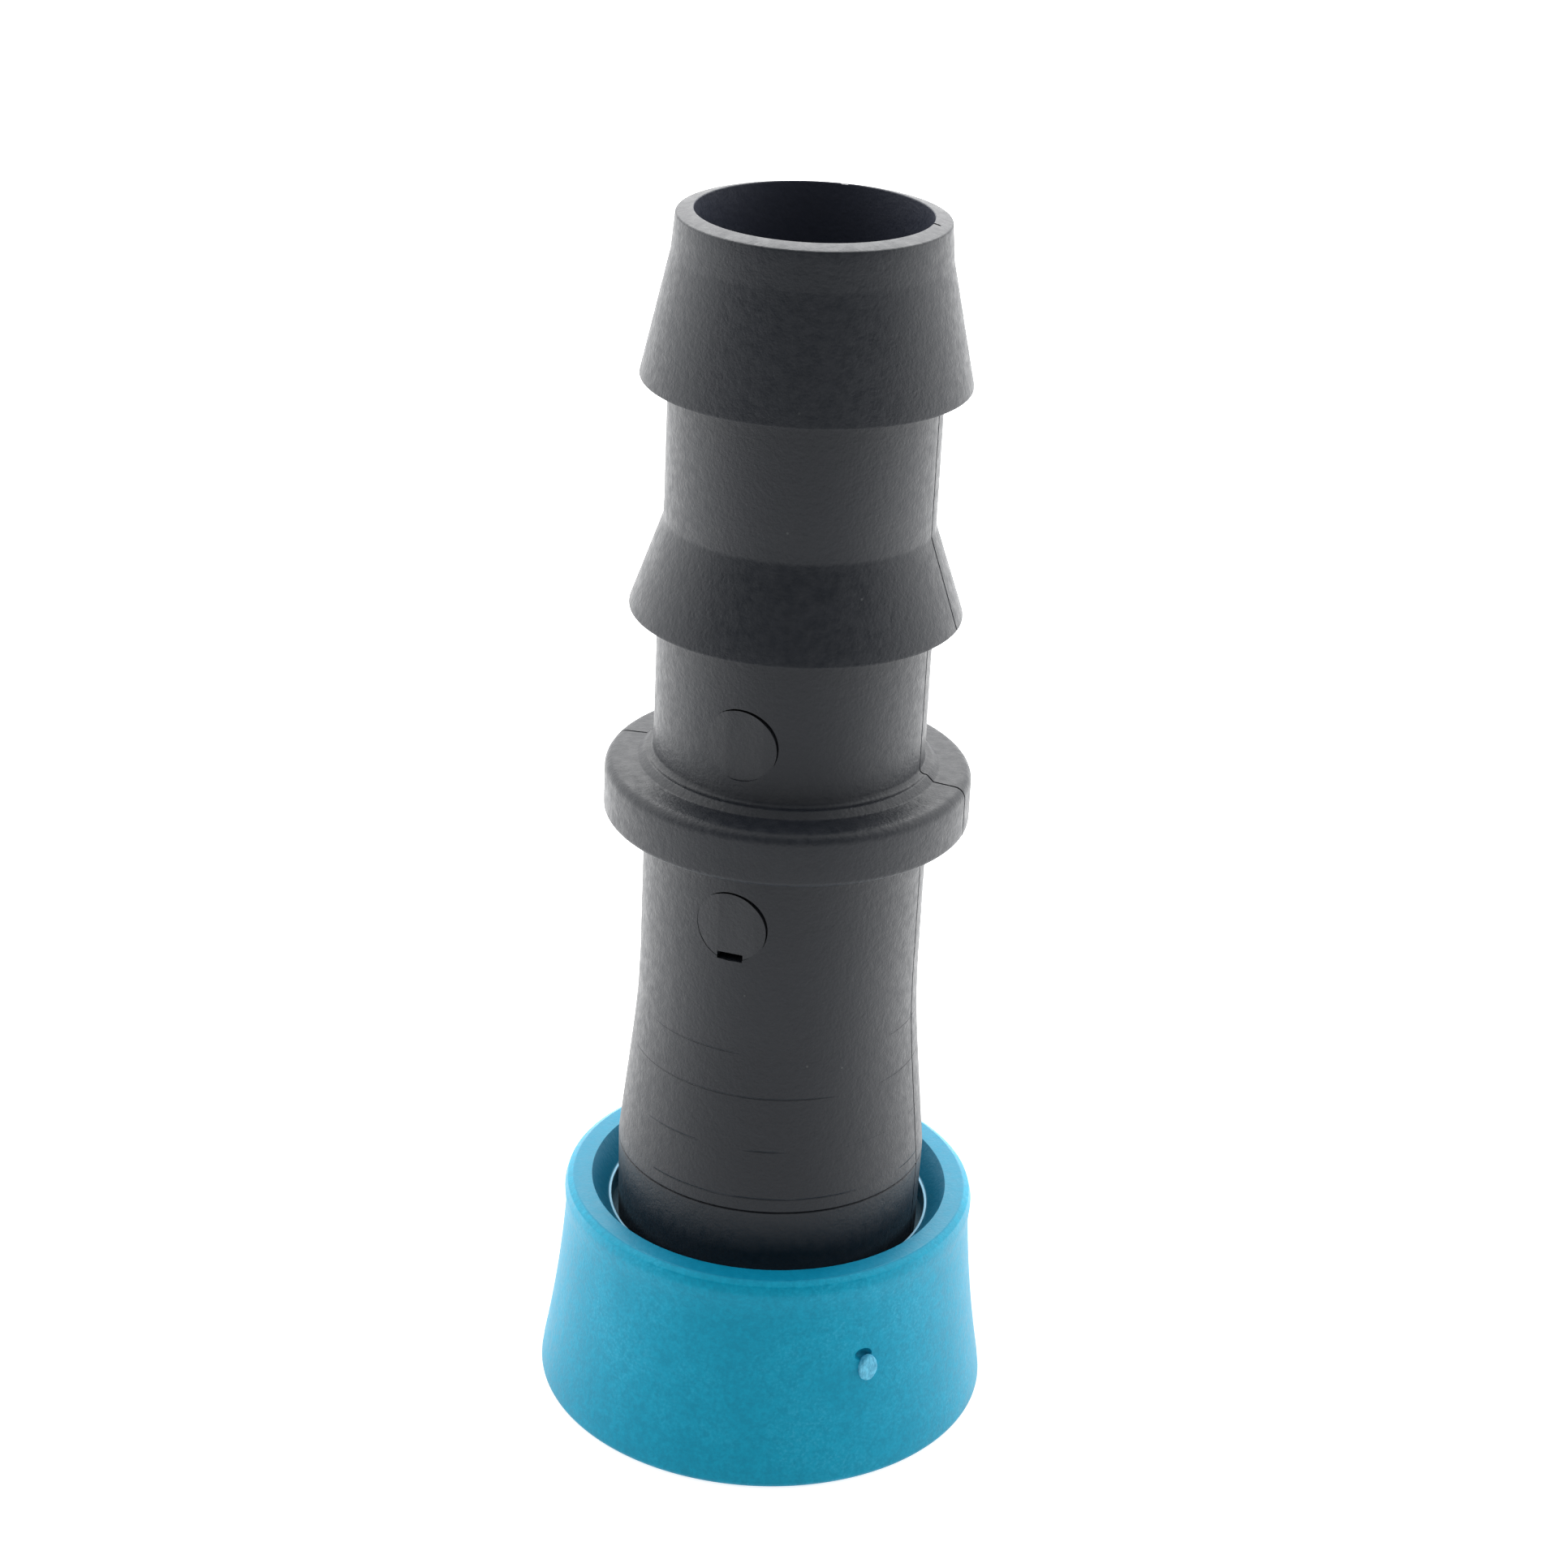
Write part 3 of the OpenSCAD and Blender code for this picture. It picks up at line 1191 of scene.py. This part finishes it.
@dataclass
class LockingRing:
    """The flared ring: grip bore, lead-in, mouth, waist and hollow side.

    Args:
        drawing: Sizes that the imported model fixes.
        rim_r: Outer radius at the rim.
        rim_inset: How far inside it the flat rim begins.
        rim_edge_in: How far inside it the rim's bevel turns.
        rim_edge_drop: Depth of that turn below the rim.
        rim_edge_soft: Rounding of that turn.
        rim_flat_soft: Rounding where the flat rim begins.
        rim_bevel: Depth of the rim's outer bevel.
        rim_soft: Rounding at the foot of the bevel.
        mouth_r: Radius of the mouth.
        mouth_soft: Rounding of the mouth's edge.
        lead_in: Depth of the lead-in above the grip bore.
        lead_step: Width of the worn step at the lead-in's foot.
        grip_r: Radius of the grip bore.
        grip_len: Length of the grip bore.
        grip_soft: Rounding at the foot of the grip bore.
        bead_in: How far the worn bead stands into the bore.
        bead_up: Height of the bead above the grip bore.
        bead_soft: Rounding of the bead.
        bead_low: Depth below the grip bore's top at which the bead ends.
        waist_fall: Fall of the waist on the radius.
        waist_len: Rim to the waist.
        base_wall: Wall at the base.
        base_soft: Rounding of the base's outer edge.
        base_inner_soft: Rounding of the base's inner edge.
        hollow: Hollow of the side against a straight cone.
        side_steps: Number of steps in the side.
        nub_turn: Azimuth of the gate's nub.
        nub_z: Height of the nub.
        nub_r: Radius of the nub.
        nub_long: Length of the nub.
        nub_sink: How far the nub's foot stands in the wall.
        nub_inset: Width of each of the two steps in its crown.
        nub_step: Height of each of those steps.
        nub_stretch: How much taller than wide the nub is.
        nub_torn: How far the torn crown's points stray.
        dimple_turn: How far the dimple stands from the nub, in degrees.
        dimple_rise: Height of the dimple above the nub.
        dimple_out: How far the dimple's middle stands off the side.
        dimple_r: Radius of the dimple.
        dimple_scale: The dimple's proportions.
    """

    drawing: Drawing
    rim_r: float = 10.14
    rim_inset: float = 0.45
    rim_edge_in: float = 0.12
    rim_edge_drop: float = 0.20
    rim_edge_soft: float = 0.12
    rim_flat_soft: float = 0.10
    rim_bevel: float = 0.62
    rim_soft: float = 0.5
    mouth_r: float = 8.80
    mouth_soft: float = 0.05
    lead_in: float = 1.15
    lead_step: float = 0.08
    grip_r: float = 7.85
    grip_len: float = 1.1
    grip_soft: float = 0.12
    bead_in: float = 0.05
    bead_up: float = 0.05
    bead_soft: float = 0.04
    bead_low: float = 0.1
    waist_fall: float = 0.08
    waist_len: float = 1.6
    base_wall: float = 1.4
    base_soft: float = 0.3
    base_inner_soft: float = 0.15
    hollow: float = 0.15
    side_steps: int = 12
    nub_turn: float = 30.0
    nub_z: float = 5.8
    nub_r: float = 0.5
    nub_long: float = 0.4
    nub_sink: float = 0.25
    nub_inset: float = 0.14
    nub_step: float = 0.03
    nub_stretch: float = 1.35
    nub_torn: float = 0.05
    dimple_turn: float = -1.2
    dimple_rise: float = 0.75
    dimple_out: float = 0.12
    dimple_r: float = 0.42
    dimple_scale: tuple[float, float, float] = (1.15, 1.15, 0.8)

    def __post_init__(self) -> None:
        """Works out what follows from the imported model."""
        self.top = self.drawing.height("locking_ring")
        self.base_r = self.drawing.radius("locking_ring")
        self.waist_z = self.top - self.waist_len
        self.waist_r = self.rim_r - self.waist_fall

    def side_radius(self, height: float) -> float:
        """Gives the flared side's radius.

        Args:
            height: Where it is wanted.

        Returns:
            The radius there.
        """
        t = (height - self.base_soft) / (self.waist_z - self.base_soft)
        straight = self.base_r + (self.waist_r - self.base_r) * t
        return straight - 4 * self.hollow * t * (1 - t)

    def section(self) -> Section:
        """Draws the half section.

        Returns:
            The section, from the base up the outside and down the inside.
        """
        rise = self.waist_z - self.base_soft
        side = tuple(
            Corner(self.side_radius(height), height)
            for height in (
                self.base_soft + rise * k / self.side_steps
                for k in range(1, self.side_steps + 1)
            )
        )
        grip_top = self.top - self.lead_in
        bead_z = grip_top + self.bead_up
        edge_r = self.rim_r - self.rim_edge_in
        return Section((
            Corner(self.base_r - self.base_wall, 0, self.base_inner_soft),
            Corner(self.base_r, 0, self.base_soft),
            *side,
            Corner(self.rim_r, self.top - self.rim_bevel, self.rim_soft),
            Corner(edge_r, self.top - self.rim_edge_drop, self.rim_edge_soft),
            Corner(self.rim_r - self.rim_inset, self.top, self.rim_flat_soft),
            Corner(self.mouth_r, self.top, self.mouth_soft),
            Corner(self.grip_r + self.lead_step, bead_z),
            Corner(self.grip_r - self.bead_in, bead_z, self.bead_soft),
            Corner(self.grip_r, grip_top - self.bead_low),
            Corner(self.grip_r, grip_top - self.grip_len, self.grip_soft),
        ))

    def build(self) -> bpy.types.Object:
        """Turns the ring and presses the dimple beside its gate.

        Returns:
            The finished ring.
        """
        piece = Workshop.lathe(Piece.RING.value, self.section(), 0.0)
        Workshop.clear()
        height = self.nub_z + self.dimple_rise
        reach = self.side_radius(height) + self.dimple_out
        middle = compass(self.nub_turn + self.dimple_turn) * reach
        bpy.ops.mesh.primitive_uv_sphere_add(
            segments=48,
            ring_count=24,
            radius=self.dimple_r,
            location=middle + Vector((0, 0, height)),
            scale=self.dimple_scale,
        )
        Workshop.cut(piece, bpy.context.object)
        return Workshop.finish(piece)

    def build_nub(self) -> bpy.types.Object:
        """Models the torn nub that the gate leaves on the side.

        Returns:
            The finished nub.
        """
        Workshop.clear()
        facing = compass(self.nub_turn)
        foot = self.side_radius(self.nub_z) - self.nub_sink
        middle = facing * (foot + self.nub_long / 2)
        bpy.ops.mesh.primitive_cylinder_add(
            vertices=20,
            radius=self.nub_r,
            depth=self.nub_long,
            location=middle + Vector((0, 0, self.nub_z)),
            rotation=facing.to_track_quat("Z", "Y").to_euler(),
        )
        piece = bpy.context.object
        piece.name = piece.data.name = Piece.NUB.value
        bpy.ops.object.transform_apply(location=True, rotation=True, scale=True)
        crown = foot + self.nub_long - 0.01
        Workshop.choose(piece, lambda co: co.dot(facing) > crown)
        for _ in range(2):
            bpy.ops.mesh.inset(thickness=self.nub_inset)
            bpy.ops.transform.translate(value=facing * self.nub_step)
        bpy.ops.mesh.select_all(action="SELECT")
        bpy.ops.transform.resize(
            value=(1, 1, self.nub_stretch), center_override=(0, 0, self.nub_z)
        )
        bpy.ops.mesh.subdivide(number_cuts=1, smoothness=0.2)
        Workshop.choose(piece, lambda co: co.dot(facing) > crown - 0.1)
        bpy.ops.transform.vertex_random(offset=self.nub_torn, seed=7)
        bpy.ops.object.mode_set(mode="OBJECT")
        step = piece.modifiers.new("soften", "SUBSURF")
        step.levels = step.render_levels = 2
        bpy.ops.object.modifier_apply(modifier=step.name)
        return Workshop.finish(piece)

    def dress(self, piece: bpy.types.Object, finish: TurquoisePlastic) -> None:
        """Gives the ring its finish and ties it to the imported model.

        Args:
            piece: The finished ring.
            finish: Its plastic.
        """
        piece.data.materials.clear()
        edge_z = self.top - self.lead_in
        piece.data.materials.append(
            finish.material(self.grip_r, edge_z, self.mouth_r, self.top)
        )
        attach(piece, "locking_ring")
        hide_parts("locking_ring")

    def dress_nub(self, piece: bpy.types.Object, finish: TornPlastic) -> None:
        """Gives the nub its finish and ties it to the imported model.

        Args:
            piece: The finished nub.
            finish: Its plastic.
        """
        piece.data.materials.clear()
        piece.data.materials.append(finish.material())
        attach(piece, "locking_ring")


# ---------------------------------------------------------------- studio and camera


@dataclass(frozen=True)
class Studio:
    """Pale floor, soft surround and one wide lamp behind.

    Args:
        surround: Brightness of the surround behind, beside and above.
        shade: How much of it is missing at the viewer's side.
        top_shade: How much of it is missing straight above.
        band: How much brighter it is halfway up.
        floor_glow: Light that the floor gives of itself far out beside and behind.
        floor_front: Share of it that is left far out on the viewer's side.
        floor_near: Share of it that is left close to the object.
        floor_size: Length of the floor's sides, in metres like all that follow.
        floor_grey: The floor's own colour.
        near_reach: Distances at which close to the object ends and far out begins.
        lamp_place: Where the lamp hangs.
        lamp_aim: What it is turned to.
        lamp_size: Its width and height.
        lamp_power: Its power in watts.
        camera_place: Where the camera stands.
        camera_tilt: Its pitch downwards, its yaw and its roll, in degrees.
        camera_lens: Its focal length in millimetres.
    """

    surround: float = 2.4
    shade: float = 0.94
    top_shade: float = 0.50
    band: float = 0.22
    floor_glow: float = 2.5
    floor_front: float = 0.21
    floor_near: float = 0.33
    floor_size: float = 4.0
    floor_grey: float = 0.38
    near_reach: tuple[float, float] = (0.018, 0.050)
    lamp_place: tuple[float, float, float] = (0.0, 0.33, 0.39)
    lamp_aim: tuple[float, float, float] = (0.0, 0.0, 0.03)
    lamp_size: tuple[float, float] = (0.5, 0.22)
    lamp_power: float = 1.45
    camera_place: tuple[float, float, float] = (0.0, -0.141585, 0.096142)
    camera_tilt: tuple[float, float, float] = (24.2865, -0.0634, 2.7195)
    camera_lens: float = 75.481

    def floor(self) -> None:
        """Lays the floor."""
        Workshop.clear()
        bpy.ops.mesh.primitive_plane_add(size=self.floor_size, location=(0, 0, 0))
        floor = bpy.context.object
        floor.name = "floor"
        made = bpy.data.materials.new("pale_floor")
        made.use_nodes = True
        sheet = NodeSheet(made.node_tree)
        x, y, _ = sheet.split(sheet.place())
        radius = (x * x + y * y + MM * MM) ** 0.5
        behind = (y / radius).ramp(-0.97, 0.25)
        far = behind * (1 - self.floor_front) + self.floor_front
        share = (far - self.floor_near) * radius.ramp(*self.near_reach) + self.floor_near
        shader = sheet.node(
            "ShaderNodeBsdfPrincipled",
            {},
            {
                "Base Color": rgb(self.floor_grey, self.floor_grey, self.floor_grey),
                "Roughness": 0.9,
                "Specular IOR Level": 0.0,
                "Emission Color": sheet.mix(share, rgb(0, 0, 0), rgb(1, 1, 1)),
                "Emission Strength": self.floor_glow,
            },
        )
        sheet.node("ShaderNodeOutputMaterial", {}, {0: shader.outputs[0]})
        floor.data.materials.append(made)

    def sky(self) -> None:
        """Makes the surround: white behind and above, dim at the viewer's side."""
        world = bpy.data.worlds.new("surround")
        world.use_nodes = True
        bpy.context.scene.world = world
        sheet = NodeSheet(world.node_tree)
        x, y, z = sheet.split(sheet.node("ShaderNodeTexCoord").outputs["Generated"])
        front = y.ramp(0.12, -0.55)
        low = z.ramp(1.0, 0.84)
        halfway = 1 + z.ramp(0.1, 0.45) * self.band
        overhead = 1 - z.ramp(0.72, 0.98) * self.top_shade
        light = (1 - front * low * self.shade) * (halfway * overhead) * self.surround
        shader = sheet.node(
            "ShaderNodeBackground", {}, {"Color": rgb(1, 1, 1), "Strength": light}
        )
        sheet.node("ShaderNodeOutputWorld", {}, {0: shader.outputs[0]})

    def lamp(self) -> None:
        """Hangs one wide soft lamp above and behind."""
        bpy.ops.object.light_add(type="AREA", location=self.lamp_place)
        lamp = bpy.context.object
        lamp.name = "soft_lamp"
        lamp.data.shape = "RECTANGLE"
        lamp.data.size, lamp.data.size_y = self.lamp_size
        lamp.data.energy = self.lamp_power
        aim = Vector(self.lamp_aim) - lamp.location
        lamp.rotation_euler = aim.to_track_quat("-Z", "Y").to_euler()

    def camera(self) -> None:
        """Sets up the camera in front, above and a little rolled."""
        pitch, yaw, roll = (math.radians(angle) for angle in self.camera_tilt)
        level = Vector((math.sin(yaw), math.cos(yaw), 0))
        ahead = level * math.cos(pitch) - Vector((0, 0, math.sin(pitch)))
        right = Vector((math.cos(yaw), -math.sin(yaw), 0))
        up = right.cross(ahead)
        across = math.cos(roll) * right + math.sin(roll) * up
        above = math.cos(roll) * up - math.sin(roll) * right
        data = bpy.data.cameras.new("camera")
        data.sensor_width, data.lens, data.clip_start = 36.0, self.camera_lens, 0.005
        camera = bpy.data.objects.new("camera", data)
        bpy.context.scene.collection.objects.link(camera)
        turn = Matrix((across, above, -ahead)).transposed().to_4x4()
        camera.matrix_world = Matrix.Translation(self.camera_place) @ turn
        bpy.context.scene.camera = camera


def report(piece: bpy.types.Object) -> None:
    """Logs a finished piece's name and face count."""
    LOG.info("%s: %d faces", piece.name, len(piece.data.polygons))


def main() -> None:
    """Builds the studio, the body, the ring and its nub, and logs each piece's face count."""
    logging.basicConfig(level=logging.INFO, format="%(name)s: %(message)s")
    bpy.context.scene.view_settings.view_transform = "Standard"
    studio = Studio()
    studio.camera()
    studio.floor()
    studio.sky()
    studio.lamp()
    drawing = Drawing(frame["record"])
    body = ConnectorBody(drawing)
    shell = body.build()
    body.dress(shell, CharcoalPlastic())
    report(shell)
    ring = LockingRing(drawing)
    ring_shell = ring.build()
    ring.dress(ring_shell, TurquoisePlastic())
    report(ring_shell)
    nub = ring.build_nub()
    ring.dress_nub(nub, TornPlastic())
    report(nub)


if __name__ == "__main__":
    main()
